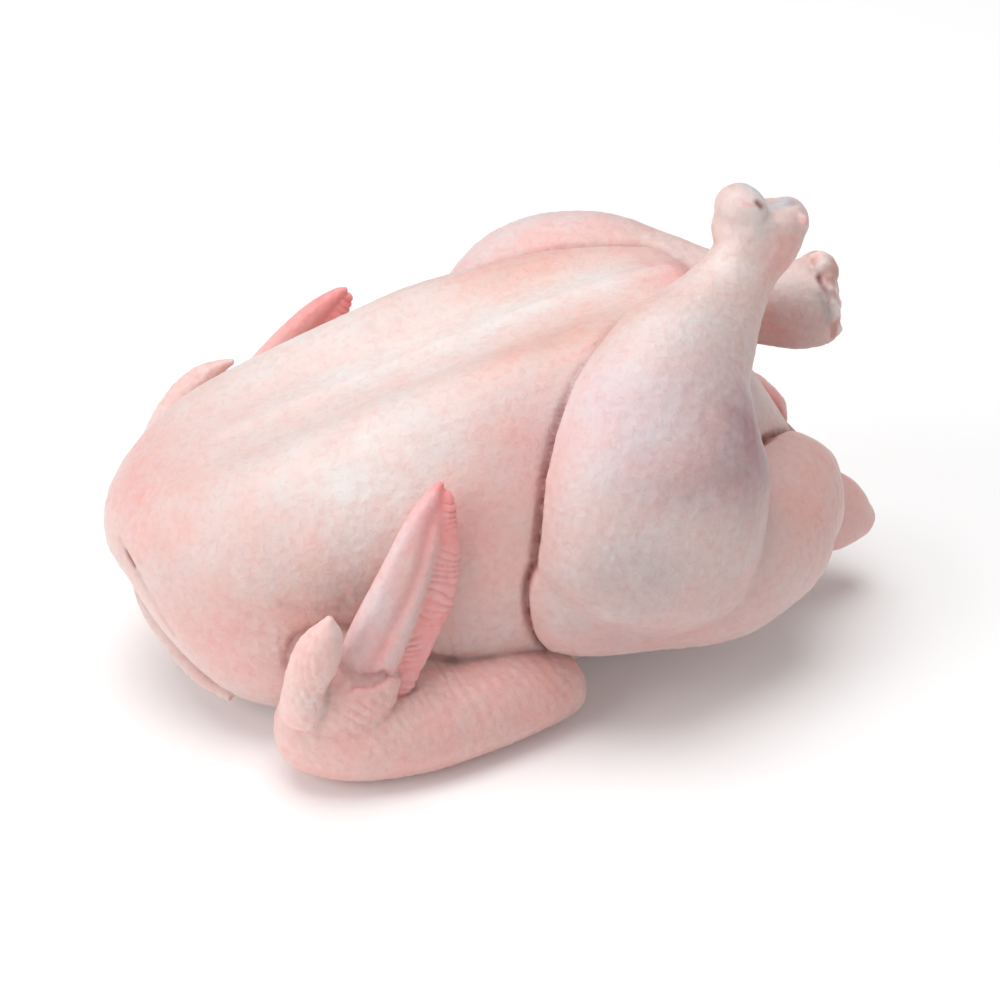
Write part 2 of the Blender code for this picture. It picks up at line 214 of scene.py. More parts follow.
# Rounded ends of the leg bones: x, sideways distance, z, and the three radii.
HOCK_RIGHT = (
    (0.0704, 0.0137, 0.1450, 0.0080, 0.0085, 0.0072),
    (0.0712, 0.0134, 0.1385, 0.0094, 0.0088, 0.0105),
    (0.0874, 0.0085, 0.1362, 0.0070, 0.0080, 0.0078),
)
HOCK_LEFT = (
    (0.1036, 0.0060, 0.1108, 0.0066, 0.0085, 0.0062),
    (0.1046, 0.0032, 0.0922, 0.0062, 0.0085, 0.0056),
)

# The vent: a hollow that opens between the thighs, above the tail.
VENT = (
    (0.0480, 0.0, 0.0560, 0.0090, 0.0090),
    (0.0560, 0.0, 0.0570, 0.0185, 0.0170),
    (0.0720, 0.0, 0.0590, 0.0205, 0.0195),
    (0.0880, 0.0, 0.0610, 0.0190, 0.0185),
    (0.1000, 0.0, 0.0650, 0.0215, 0.0205),
    (0.1250, 0.0, 0.0740, 0.0270, 0.0240),
)


def smooth_rows(stations, between=RINGS_BETWEEN):
    """The stations as an array, with rows added between them on Catmull-Rom curves."""
    rows = np.array(stations, float)
    padded = np.vstack([2 * rows[0] - rows[1], rows, 2 * rows[-1] - rows[-2]])
    made = []
    for before, start, end, after in zip(padded, padded[1:], padded[2:], padded[3:]):
        for t in np.arange(between) / between:
            made.append(
                0.5 * (2 * start + (end - before) * t
                       + (2 * before - 5 * start + 4 * end - after) * t ** 2
                       + (3 * start - before - 3 * end + after) * t ** 3)
            )
    made.append(rows[-1])
    return np.array(made)


def squared(value, squareness):
    """A sine or cosine bent so that a circle becomes a squarer oval."""
    return math.copysign(abs(value) ** (2 / squareness), value)


def torso_ring(row):
    """One section of the torso: a square-shouldered oval with two lobes and a keel."""
    x, half_width, widest, keel, back, lobe, valley, back_squareness = row
    ring = []
    for i in range(2 * RING_POINTS):
        angle = math.tau * i / (2 * RING_POINTS)
        across, rise = math.cos(angle), math.sin(angle)
        squareness = BREAST_SQUARENESS if rise > 0 else back_squareness
        y = half_width * squared(across, squareness)
        if rise > 0:
            z = widest + (keel - widest) * squared(rise, squareness)
            z += lobe * math.exp(-(((abs(y) - LOBE_CENTRE) / LOBE_WIDTH) ** 2)) * rise
            deep = valley * (RIGHT_VALLEY_SHARE if y < 0 else 1)
            z -= deep * math.exp(-(((abs(y) - VALLEY_CENTRE) / VALLEY_WIDTH) ** 2))
        else:
            z = widest + (widest - back) * squared(rise, squareness)
        ring.append((x, y, z))
    return ring


def limb_rings(stations, facing, side=RIGHT, squareness=2.0):
    """Oval rings along a limb. Its thickness is measured along facing, and its width across."""
    rows = smooth_rows(stations)
    rows[:, 1] *= side
    facing = Vector((facing[0], facing[1] * -side, facing[2]))
    spine = [Vector(row[:3]) for row in rows]
    rings = []
    for i, row in enumerate(rows):
        along = (spine[min(i + 1, len(rows) - 1)] - spine[max(i - 1, 0)]).normalized()
        thick = (facing - facing.dot(along) * along).normalized()
        wide = along.cross(thick)
        rings.append([
            spine[i]
            + thick * row[3] * squared(math.cos(math.tau * k / RING_POINTS), squareness)
            + wide * row[4] * squared(math.sin(math.tau * k / RING_POINTS), squareness)
            for k in range(RING_POINTS)
        ])
    return rings


def moved(stations, shift, lean):
    """The stations shifted, with the far end leaned over by a further distance."""
    rows = np.array(stations, float)
    share = np.linspace(0, 1, len(rows))[:, None]
    rows[:, :3] += np.array(shift) + share * np.array(lean)
    return rows


def ball_rings(centre, radii, rings=16):
    """A bone end as rings: a sphere scaled to three radii."""
    made = []
    for i in range(rings + 1):
        tilt = math.pi * (i + 0.02) / (rings + 0.04)
        made.append([
            (centre[0] + radii[0] * math.sin(tilt) * math.cos(math.tau * k / RING_POINTS),
             centre[1] + radii[1] * math.sin(tilt) * math.sin(math.tau * k / RING_POINTS),
             centre[2] - radii[2] * math.cos(tilt))
            for k in range(RING_POINTS)
        ])
    return made


def body_masses():
    """Every mass of flesh and bone as (name, side, rings)."""
    masses = [
        ("torso", 0, [torso_ring(row) for row in smooth_rows(TORSO)]),
        ("tail", 0, limb_rings(TAIL, (0, 0, 1))),
        ("neck_fold", 0, limb_rings(NECK_FOLD, (-0.6, -0.4, 0.7))),
    ]
    wing = (
        ("upper_wing", UPPER_WING, (0, -1, 0.5), STRAIGHT),
        ("forearm", FOREARM, (0, 0, 1), STRAIGHT),
        ("hand", HAND, (-0.2, -1, 0.4), STRAIGHT),
        ("digit", DIGIT, (-0.2, -1, 0.3), LEFT_TIP_LEAN),
        ("flap", FLAP, (0.1, -1, 0.3), LEFT_TIP_LEAN),
        ("thumb", THUMB, (-0.3, -1, 0.3), LEFT_THUMB_LEAN),
    )
    for side, thigh, drumstick, hock in (
        (RIGHT, THIGH, DRUMSTICK_RIGHT, HOCK_RIGHT),
        (LEFT, moved(THIGH, STRAIGHT, LEFT_THIGH_LEAN), DRUMSTICK_LEFT, HOCK_LEFT),
    ):
        masses.append(("thigh", side, limb_rings(thigh, (0, -1, 0), side)))
        rings = limb_rings(drumstick, (0, -1, 0.2), side, DRUMSTICK_SQUARENESS)
        masses.append(("drumstick", side, rings))
        for x, out, z, *radii in hock:
            masses.append(("hock", side, ball_rings((x, out * side, z), radii)))
        for part, stations, facing, lean in wing:
            if side == LEFT:
                stations = moved(stations, LEFT_WING_SHIFT, lean)
            masses.append((part, side, limb_rings(stations, facing, side)))
    return masses


# ---------------------------------------------------------------- mesh helpers

def add_rings(shape, rings):
    """A closed body through rings of points, with a face across each end."""
    verts = [[shape.verts.new(point) for point in ring] for ring in rings]
    for here, there in zip(verts, verts[1:]):
        for i in range(len(here)):
            j = (i + 1) % len(here)
            shape.faces.new((here[i], here[j], there[j], there[i]))
    shape.faces.new(verts[0][::-1])
    shape.faces.new(verts[-1])


def object_from(shape, name):
    """A new object in the scene that holds this shape."""
    bmesh.ops.recalc_face_normals(shape, faces=shape.faces)
    mesh = bpy.data.meshes.new(name)
    shape.to_mesh(mesh)
    shape.free()
    body = bpy.data.objects.new(name, mesh)
    bpy.context.scene.collection.objects.link(body)
    return body


def applied(body, modifiers):
    """Replaces the object's mesh by what these modifiers make of it."""
    for name, kind, settings in modifiers:
        modifier = body.modifiers.new(name, kind)
        for key, value in settings.items():
            setattr(modifier, key, value)
    graph = bpy.context.evaluated_depsgraph_get()
    mesh = bpy.data.meshes.new_from_object(body.evaluated_get(graph))
    body.modifiers.clear()
    body.data = mesh


def read(mesh):
    """(points, normals, edges) of a mesh as arrays."""
    points = np.empty(len(mesh.vertices) * 3)
    mesh.vertices.foreach_get("co", points)
    normals = np.empty(len(mesh.vertices) * 3)
    mesh.vertex_normals.foreach_get("vector", normals)
    edges = np.empty(len(mesh.edges) * 2, int)
    mesh.edges.foreach_get("vertices", edges)
    return points.reshape(-1, 3), normals.reshape(-1, 3), edges.reshape(-1, 2)


def write(mesh, points):
    """Moves the mesh's points to these places."""
    mesh.vertices.foreach_set("co", points.astype(np.float32).ravel())
    mesh.update()


def add_mark(mesh, name, values):
    """Keeps one number for each point of the mesh under this name."""
    attribute = mesh.attributes.new(name, "FLOAT", "POINT")
    attribute.data.foreach_set("value", values)


def taken_mark(mesh, name):
    """The values of a mark, which is then removed."""
    attribute = mesh.attributes[name]
    values = np.empty(len(attribute.data))
    attribute.data.foreach_get("value", values)
    mesh.attributes.remove(attribute)
    return values


def averaged(values, edges, rounds):
    """Values spread over the mesh by averaging each point with its neighbours."""
    values = np.array(values, float)
    flat = values.reshape(len(values), -1)
    ends = np.concatenate([edges[:, 0], edges[:, 1]])
    others = np.concatenate([edges[:, 1], edges[:, 0]])
    count = np.maximum(np.bincount(ends, minlength=len(flat)), 1)
    for _ in range(rounds):
        for column in range(flat.shape[1]):
            total = np.bincount(ends, flat[others, column], len(flat))
            flat[:, column] = 0.5 * flat[:, column] + 0.5 * total / count
    return flat.reshape(values.shape)


# ---------------------------------------------------------------- noise in space

def hashed(cells, seed):
    """A number from 0 to 1 for each whole-numbered cell."""
    key = cells.astype(np.int64).view(np.uint64)
    mixed = key[:, 0] * np.uint64(73856093) ^ key[:, 1] * np.uint64(19349663)
    mixed ^= key[:, 2] * np.uint64(83492791) ^ np.uint64(2654435761 * (seed + 1))
    mixed = (mixed ^ (mixed >> np.uint64(15))) * np.uint64(2246822519)
    mixed = (mixed ^ (mixed >> np.uint64(13))) * np.uint64(3266489917)
    return ((mixed >> np.uint64(16)) & np.uint64(0xFFFF)).astype(float) / 65535


def noise(points, size, seed):
    """Smooth noise from -1 to 1 with lumps of about this size. size may differ by axis."""
    scaled = points / np.array(size)
    cell = np.floor(scaled)
    part = scaled - cell
    fade = part * part * (3 - 2 * part)
    total = np.zeros(len(points))
    for corner in product((0, 1), repeat=3):
        share = np.prod(np.where(corner, fade, 1 - fade), axis=1)
        total += share * (2 * hashed(cell + np.array(corner), seed) - 1)
    return total


def bumps(points, spacing, seed, spread=0.38, sharp=4.0):
    """Round bumps from 0 to 1, one in each cell of space of this spacing."""
    scaled = points / np.array(spacing)
    cell = np.floor(scaled)
    nearest = np.full(len(points), 9.0)
    for corner in product((-1, 0, 1), repeat=3):
        there = cell + np.array(corner)
        centre = np.stack([hashed(there, seed + k) for k in range(3)], axis=1)
        centre = there + 0.5 + spread * (2 * centre - 1)
        nearest = np.minimum(nearest, ((scaled - centre) ** 2).sum(axis=1))
    return np.exp(-sharp * nearest)


def blob(points, centre, reach):
    """1 at the centre, falling to about a third at the reach. reach may differ by axis."""
    return np.exp(-(((points - np.array(centre)) / np.array(reach)) ** 2).sum(axis=1))


# ---------------------------------------------------------------- the skin and its places

# The masses that belong together, and how deep the fold is where two groups meet.
GROUPS = {
    "torso": ("torso",),
    "neck": ("neck_fold",),
    "leg": ("thigh", "drumstick", "hock"),
    "arm": ("upper_wing", "forearm", "hand"),
    "leaf": ("digit", "flap"),
    "thumb": ("thumb",),
    "tail": ("tail",),
}
FOLD_DEPTH = {
    "torso": 0.0030, "leg": 0.0030, "arm": 0.0012, "leaf": 0.0010, "thumb": 0.0004, "tail": 0.0012,
    "neck": 0.0010,
}
# How quickly the sides of a fold rise, and how wide the painted shade line along it is.
FOLD_WIDTH = 0.0008
FOLD_LINE = 0.0006
# How far the skin at the bottom of a fold is from both masses.
FOLD_FLOOR = 0.0004
# The lip of the leg along its fold: distance from the fold, and width.
LIP_CENTRE, LIP_WIDTH = 0.0024, 0.0014
# Skin this close to a fold gets finer faces. Beyond the reach, a point is in no fold.
FOLD_FINE = 0.0026
FOLD_REACH = 0.007
# Folds get shallow from this height upwards.
FOLD_TOP, FOLD_TOP_FADE = 0.112, 0.022

# Where the skin is given four times the faces: centre and radius.
FINE_PLACES = (
    ((0.0790, -0.0140, 0.1400), 0.024),
    ((0.1020, 0.0030, 0.1040), 0.024),
    ((-0.0440, -0.0720, 0.0600), 0.036),
    ((-0.0780, -0.0820, 0.0450), 0.024),
    ((-0.1190, -0.0180, 0.0560), 0.014),
    ((-0.0470, 0.0760, 0.0580), 0.036),
)

# Places where the joints and the bone ends run smoothly into each other: centre and reach.
EASE_ROUNDS = 24
EASED = (
    ((-0.0810, -0.0870, 0.0340), (0.012, 0.010, 0.010)),
    ((0.0760, -0.0150, 0.1380), (0.016, 0.014, 0.012)),
    ((0.1020, 0.0040, 0.1030), (0.012, 0.014, 0.014)),
    ((-0.0600, -0.0760, 0.0340), (0.014, 0.010, 0.012)),
    ((-0.0790, 0.0760, 0.0340), (0.014, 0.010, 0.012)),
)


def fused_skin(masses):
    """One closed skin around all the masses, opened at the vent."""
    shape = bmesh.new()
    for _, _, rings in masses:
        add_rings(shape, rings)
    skin = object_from(shape, "chicken_skin")
    applied(skin, [("skin", "REMESH", {"mode": "VOXEL", "voxel_size": VOXEL})])
    shape = bmesh.new()
    add_rings(shape, limb_rings(VENT, (0, 0, 1)))
    cutter = object_from(shape, "vent_cutter")
    applied(skin, [
        ("vent", "BOOLEAN", {"operation": "DIFFERENCE", "object": cutter, "solver": "EXACT"}),
        ("rounding", "SMOOTH", {"factor": 0.5, "iterations": SMOOTH_ROUNDS}),
    ])
    bpy.data.objects.remove(cutter)
    return skin


def refined(mesh, seam_gap):
    """Splits the faces of the fine places and of the folds."""
    shape = bmesh.new()
    shape.from_mesh(mesh)
    near = [
        face for face in shape.faces
        if min(seam_gap[vert.index] for vert in face.verts) < FOLD_FINE
        or any((face.calc_center_median() - Vector(centre)).length < radius
               for centre, radius in FINE_PLACES)
    ]
    edges = {edge for face in near for edge in face.edges}
    bmesh.ops.subdivide_edges(shape, edges=list(edges), cuts=1, use_grid_fill=True, smooth=0.6)
    shape.to_mesh(mesh)
    shape.free()


def mass_shares(points, masses, edges):
    """How much each skin point belongs to each mass."""
    tree = kdtree.KDTree(sum(len(rings) * len(rings[0]) for _, _, rings in masses))
    owners = []
    for name, _, rings in masses:
        for point in (point for ring in rings for point in ring):
            tree.insert(point, len(owners))
            owners.append(name)
    tree.balance()
    owners = np.array(owners)[[tree.find(point)[1] for point in points]]
    names = sorted(set(owners))
    shares = averaged(np.column_stack([owners == name for name in names]), edges, 8)
    return dict(zip(names, shares.T))


def seams(points, masses):
    """For each skin point, the distance to its second nearest group, and the fold's depth."""
    distances, depths = [], []
    for (group, names), side in product(GROUPS.items(), (RIGHT, 0, LEFT)):
        corners, faces = [], []
        for name, mass_side, rings in masses:
            if name not in names or mass_side != side:
                continue
            around = len(rings[0])
            for i, k in product(range(len(rings) - 1), range(around)):
                here, there = len(corners) + i * around, len(corners) + (i + 1) * around
                after = (k + 1) % around
                faces.append((here + k, here + after, there + after, there + k))
            corners += [point for ring in rings for point in ring]
        if not faces:
            continue
        tree = bvhtree.BVHTree.FromPolygons(corners, faces)
        found = (tree.find_nearest(point, FOLD_REACH)[3] for point in points)
        distances.append([FOLD_REACH if gap is None else gap for gap in found])
        depths.append(FOLD_DEPTH[group])
    distances, depths = np.array(distances), np.array(depths)
    order = np.argsort(distances, axis=0)[:2]
    second = np.take_along_axis(distances, order[1:], axis=0)[0]
    return second, depths[order].min(axis=0)


def right_side(points):
    """The points with those of the left side folded over to the right."""
    return points * (1, 0, 1) - np.abs(points) * (0, 1, 0)


def path_distance(points, path):
    """How far each point is from the line through these places."""
    path = np.array(path)
    nearest = np.full(len(points), 1.0)
    for start, end in zip(path, path[1:]):
        step = end - start
        share = np.clip((points - start) @ step / (step @ step), 0, 1)
        gap = np.linalg.norm(points - start - share[:, None] * step, axis=1)
        nearest = np.minimum(nearest, gap)
    return nearest


def linear(red, green, blue):
    """A colour given from 0 to 255 as the shader takes it."""
    shares = np.array([red, green, blue]) / 255
    return np.where(shares <= 0.04045, shares / 12.92, ((shares + 0.055) / 1.055) ** 2.4)


# Colours of the skin, as seen in daylight.
SKIN = linear(222, 198, 193)
CREAM = linear(233, 224, 220)
PINK = linear(226, 172, 168)
SALMON = linear(232, 184, 178)
ORANGE = linear(220, 176, 162)
LILAC = linear(222, 204, 208)
PURPLE = linear(176, 142, 146)
GREY = linear(190, 176, 174)
RED = linear(250, 150, 150)
# Dark red: the colour of blood, and also painted shade in the folds and under the wing's tip.
DARK_RED_BLOOD_AND_SHADE = linear(126, 40, 40)
CARTILAGE = linear(206, 208, 214)
TISSUE = linear(186, 112, 96)

# Colour by place: colour, centre, reach along X, Y and Z, and strength. A place with True at the
# end is on both sides, given for the right one.
PLACES = (
    (CREAM, (-0.010, 0.010, 0.106), (0.080, 0.050, 0.026), 0.4, False),
    (CREAM, (-0.026, 0.006, 0.105), (0.072, 0.012, 0.030), 0.7, False),
    (CREAM, (-0.048, -0.044, 0.087), (0.036, 0.020, 0.018), 0.85, True),
    (CREAM, (0.022, 0.014, 0.112), (0.030, 0.012, 0.012), 0.6, False),
    (CREAM, (0.066, -0.026, 0.137), (0.014, 0.010, 0.012), 0.8, False),
    (CREAM, (0.048, -0.050, 0.121), (0.018, 0.012, 0.010), 0.6, True),
    (PINK, (-0.111, 0.000, 0.066), (0.018, 0.034, 0.012), 0.7, False),
    (PINK, (-0.100, -0.048, 0.036), (0.022, 0.018, 0.020), 0.7, True),
    (ORANGE, (-0.080, -0.060, 0.048), (0.030, 0.012, 0.010), 0.5, True),
    (ORANGE, (0.018, -0.026, 0.113), (0.030, 0.012, 0.012), 0.9, True),
    (PINK, (-0.006, -0.053, 0.090), (0.016, 0.012, 0.020), 0.7, True),
    (SALMON, (-0.018, -0.063, 0.060), (0.018, 0.012, 0.026), 0.9, True),
    (PINK, (0.056, -0.001, 0.119), (0.014, 0.020, 0.012), 1.0, False),
    (PINK, (0.034, 0.040, 0.116), (0.030, 0.012, 0.014), 0.5, False),
    (LILAC, (0.024, -0.068, 0.106), (0.030, 0.022, 0.020), 0.9, True),
    (PURPLE, (0.060, -0.066, 0.096), (0.017, 0.020, 0.024), 0.9, True),
    (PURPLE, (0.040, -0.078, 0.088), (0.020, 0.014, 0.010), 0.4, True),
    # The thigh's grey patch, made darker partly as painted shade on the thigh's lower side.
    (GREY, (0.016, -0.083, 0.056), (0.022, 0.014, 0.020), 0.9, True),
    # Painted shadow of the wing's tip on the breast beside it, in dark red.
    (DARK_RED_BLOOD_AND_SHADE, (-0.0620, -0.0610, 0.0535), (0.008, 0.006, 0.009), 0.25, False),
    (SALMON, (0.040, -0.078, 0.040), (0.036, 0.020, 0.018), 0.5, True),
    (SALMON, (0.086, -0.048, 0.060), (0.018, 0.022, 0.022), 0.8, True),
    (SALMON, (0.083, -0.024, 0.130), (0.010, 0.010, 0.012), 0.8, False),
    # On the far leg's end: pink that is partly its blood colour and partly painted shade from the
    # near leg.
    (PINK, (0.088, 0.000, 0.098), (0.014, 0.014, 0.012), 0.9, False),
    (CREAM, (0.094, -0.002, 0.110), (0.010, 0.010, 0.008), 0.7, False),
    (PINK, (0.030, -0.074, 0.034), (0.040, 0.014, 0.010), 0.8, True),
    # Grey low on the thigh: partly its own grey, partly painted shade on its underside.
    (GREY, (0.026, -0.074, 0.040), (0.040, 0.014, 0.016), 0.5, True),
    (RED, (0.098, 0.020, 0.060), (0.010, 0.014, 0.012), 0.5, False),
    (RED, (-0.0748, -0.0865, 0.0610), (0.004, 0.004, 0.004), 0.6, False),
    (CARTILAGE, (0.087, -0.010, 0.1445), (0.004, 0.004, 0.003), 0.8, False),
    (PURPLE, (0.0885, -0.0110, 0.1420), (0.0022, 0.0026, 0.0022), 0.8, False),
)

# Lines pressed into the skin or raised from it: path, width, height, colour and its strength,
# and whether it is on both sides, given for the right one.
LINES = (
    (((-0.1222, -0.014, 0.0560), (-0.1208, -0.0200, 0.0538), (-0.1180, -0.0262, 0.0490),
      (-0.1155, -0.0315, 0.0430), (-0.1100, -0.0350, 0.0330)), 0.0012, -0.0005, DARK_RED_BLOOD_AND_SHADE, 0.15, True),
    (((-0.1216, -0.0185, 0.0548), (-0.1196, -0.0232, 0.0516)), 0.0007, -0.0004, DARK_RED_BLOOD_AND_SHADE, 0.8, False),
    (((-0.0800, -0.0572, 0.0525), (-0.0726, -0.0595, 0.0500), (-0.0640, -0.0605, 0.0500)),
     0.0016, -0.0005, DARK_RED_BLOOD_AND_SHADE, 0.10, True),
    # Along the keel: a raised cream line, partly the skin's own cream and partly a painted highlight
    # on the ridge.
    (((-0.085, 0.0, 0.082), (-0.045, 0.0, 0.0960), (-0.022, 0.0, 0.1035), (0.005, 0.0, 0.1110),
      (0.032, 0.0, 0.1170), (0.052, 0.0, 0.1200)), 0.0036, 0.0005, CREAM, 0.4, False),
    (((0.0695, -0.0190, 0.1496), (0.0708, -0.0204, 0.1484), (0.0722, -0.0206, 0.1480)),
     0.0006, -0.0004, RED, 0.7, False),
    (((-0.0330, -0.0665, 0.0889), (-0.0389, -0.0722, 0.0794), (-0.0417, -0.0748, 0.0706),
      (-0.0459, -0.0773, 0.0621), (-0.0540, -0.0807, 0.0490), (-0.0596, -0.0824, 0.0410)),
     0.0022, -0.0014, RED, 0.35, False),
    # Along the wing tip's digit: a raised lilac line, partly the bone showing through and partly a
    # painted highlight on its ridge.
    (((-0.0638, -0.0777, 0.0477), (-0.0570, -0.0760, 0.0583), (-0.0469, -0.0703, 0.0768),
      (-0.0378, -0.0678, 0.0875)), 0.0028, 0.0010, LILAC, 0.6, False),
    (((-0.0645, -0.0838, 0.0370), (-0.0597, -0.0837, 0.0362), (-0.0551, -0.0832, 0.0372),
      (-0.0510, -0.0810, 0.0400)), 0.0010, -0.0009, RED, 0.4, False),
    (((-0.0625, -0.0832, 0.0406), (-0.0586, -0.0832, 0.0390), (-0.0545, -0.0822, 0.0402)),
     0.0008, -0.0007, RED, 0.3, False),
    (((0.0758, -0.0200, 0.1465), (0.0746, -0.0212, 0.1420), (0.0726, -0.0221, 0.1389),
      (0.0689, -0.0221, 0.1370), (0.0655, -0.0207, 0.1358)), 0.0040, 0.0015, CREAM, 0.3, False),
    (((0.0725, -0.0110, 0.1516), (0.0752, -0.0160, 0.1505)), 0.0026, 0.0002, CARTILAGE, 0.9, False),
    (((0.0775, -0.0150, 0.1470), (0.0830, -0.0110, 0.1434)), 0.0028, 0.0, CARTILAGE, 0.8, False),
    (((0.0742, -0.0200, 0.1484), (0.0750, -0.0204, 0.1476)), 0.0009, -0.0008, DARK_RED_BLOOD_AND_SHADE, 0.8, False),
    (((0.1016, -0.0020, 0.1128), (0.1024, -0.0056, 0.1090)), 0.0009, -0.0010, DARK_RED_BLOOD_AND_SHADE, 0.9, False),
    (((0.0894, -0.0184, 0.1396), (0.0902, -0.0180, 0.1416)), 0.0011, 0.0022, PINK, 0.8, False),
    (((0.0620, -0.0140, 0.1120), (0.0640, 0.0, 0.1135), (0.0630, 0.0140, 0.1120)),
     0.0040, -0.0012, PINK, 0.5, False),
    (((0.1014, -0.0066, 0.1084), (0.1032, -0.0092, 0.1006)), 0.0018, 0.0, GREY, 0.9, False),
    (((0.1034, 0.0000, 0.1162), (0.1048, 0.0040, 0.1160)), 0.0026, 0.0010, CREAM, 0.9, False),
)

# Fine streaks of colour that run back along the breast: their axes, and where they show.
STREAK_AXES = np.array(Matrix.Rotation(math.radians(24), 3, "Z") @ Matrix.Rotation(0.3, 3, "Y"))
STREAKED = (
    ((0.020, -0.030, 0.112), (0.034, 0.014, 0.014), 0.7),
    ((-0.070, -0.058, 0.060), (0.030, 0.014, 0.014), 0.6),
    ((-0.030, -0.060, 0.066), (0.024, 0.014, 0.020), 0.5),
)

# Sets of wrinkles: centre, reach, direction across the wrinkles, spacing, height and whether
# they are on both sides, given for the right one.
WRINKLES = (
    ((-0.090, -0.053, 0.040), (0.020, 0.030, 0.016), (0.1, 0.1, 1.0), 0.0034, 0.00045, True),
    ((0.058, -0.040, 0.118), (0.016, 0.022, 0.014), (0.55, 0.2, 0.8), 0.0026, 0.00022, True),
    ((0.072, -0.018, 0.130), (0.012, 0.014, 0.012), (0.5, 0.4, 0.75), 0.0030, 0.00026, False),
    ((0.086, -0.050, 0.056), (0.016, 0.026, 0.022), (1.0, 0.5, 0.0), 0.0038, 0.00070, True),
    ((-0.078, -0.086, 0.044), (0.010, 0.010, 0.014), (0.9, -0.4, 0.1), 0.0026, 0.00040, True),
    ((-0.027, -0.071, 0.026), (0.040, 0.014, 0.012), (1.0, 0.4, 0.2), 0.0040, 0.00060, True),
    ((0.010, -0.083, 0.062), (0.014, 0.010, 0.007), (0.3, 0.0, 1.0), 0.0060, 0.00060, True),
    ((0.030, -0.078, 0.090), (0.030, 0.014, 0.012), (0.5, 0.1, 0.9), 0.0030, 0.00030, True),
    ((-0.018, -0.064, 0.045), (0.014, 0.012, 0.020), (0.5, 0.0, 0.85), 0.0050, 0.00040, True),
    ((-0.020, 0.036, 0.104), (0.050, 0.014, 0.016), (0.4, 1.0, 0.2), 0.0034, 0.00016, False),
    ((-0.060, -0.080, 0.026), (0.012, 0.012, 0.012), (0.8, 0.0, 0.6), 0.0036, 0.00080, True),
    ((0.040, 0.056, 0.100), (0.040, 0.030, 0.020), (1.0, 0.2, 0.1), 0.0040, 0.00030, False),
)


# Distance between follicles.
FOLLICLE_SPACING = 0.0028
# The plane of the cut at the left leg's end: its lean, its place along X, and its lowest height.
CUT_LEAN, CUT_PLACE, CUT_LOWEST = 0.19, 0.1223, 0.08


def wrinkled(points, direction, spacing, seed):
    """Wavering wrinkles from 0 to 1, with rounded tops and narrow valleys."""
    direction = np.array(direction) / np.linalg.norm(direction)
    phase = points @ direction / spacing + 1.1 * noise(points, 3.2 * spacing, seed)
    broken = 0.65 + 0.35 * noise(points, 2.2 * spacing, seed + 1)
    return np.abs(np.sin(math.pi * phase)) ** 0.7 * broken


def leaf_wrinkles(points):
    """Wrinkles from 0 to 1 across the skin flap at the wing's tip."""
    ragged = 0.55 + 0.5 * noise(points, 0.005, 61)
    return ragged * wrinkled(right_side(points), (0.27, 0.16, 0.95), 0.0024, 60)


def follicles(points):
    """Where feathers were plucked: bumps from 0 to 1, stronger in some places than in others."""
    return bumps(points, FOLLICLE_SPACING, 20) * (0.65 + 0.5 * noise(points, 0.010, 13))


def cut_end(points):
    """1 on the cut end of the left leg, beyond the rim of its skin."""
    beyond = points[:, 0] + CUT_LEAN * points[:, 2] - CUT_PLACE + 0.0008 * noise(points, 0.003, 17)
    return np.clip(beyond / 0.0006, 0, 1) * (points[:, 2] > CUT_LOWEST)


def skin_tint(points, shares, painted_fold_shade):
    """The colour of each skin point before the fine mottling."""
    tint = np.tile(SKIN, (len(points), 1))
    folded = right_side(points)

    def mix(colour, weight):
        weight = np.clip(weight, 0, 1)[:, None]
        tint[:] = tint * (1 - weight) + colour * weight

    ragged = 1 + 0.30 * noise(points, 0.012, 3) + 0.25 * noise(points, 0.004, 4)
    for colour, centre, reach, strength, both in PLACES:
        mix(colour, strength * blob(folded if both else points, centre, reach) * ragged)
    wing = sum(shares[name] for name in ("forearm", "hand", "digit", "flap", "thumb"))
    mix(SALMON, 0.75 * wing * ragged)
    mix(SALMON, 0.8 * shares["tail"] * ragged)
    leaf = shares["digit"] + shares["flap"]
    mix(RED, 0.8 * leaf * np.clip((points[:, 2] - 0.070) / 0.018, 0, 1))
    mix(RED, (0.65 - 0.45 * leaf_wrinkles(points)) * shares["flap"])
    mix(CREAM, 0.3 * shares["thumb"])
    mix(LILAC, 0.35 * shares["digit"] * np.clip((0.072 - points[:, 2]) / 0.02, 0, 1))
    cut = cut_end(points)
    mix(TISSUE, 0.55 * cut)
    mix(CREAM, 0.85 * cut * np.clip(2.5 * noise(points, 0.0030, 14) + 0.3, 0, 1))
    mix(RED, 0.7 * cut * np.clip(2.5 * noise(points, 0.0022, 15) - 0.7, 0, 1))
    for path, width, _, colour, strength, both in LINES:
        gap = path_distance(folded if both else points, path)
        mix(colour, strength * np.exp(-((gap / (1.1 * width)) ** 2)))
    pimples = follicles(points)
    low_breast = shares["torso"] * np.clip((0.086 - points[:, 2]) / 0.02, 0, 1)
    mix(CREAM, pimples * (0.30 * low_breast + 0.22 * shares["drumstick"] + 0.20 * wing))
    streaks = np.clip(1.6 * noise(points @ STREAK_AXES, (0.014, 0.0018, 0.0060), 16), 0, 1)
    for centre, reach, strength in STREAKED:
        mix(SALMON, strength * streaks * blob(folded, centre, reach))
    # Painted shade: the bottom of every fold darkened with dark red, most in the deep folds low on
    # the body.
    mix(DARK_RED_BLOOD_AND_SHADE, 0.95 * painted_fold_shade)
    return tint


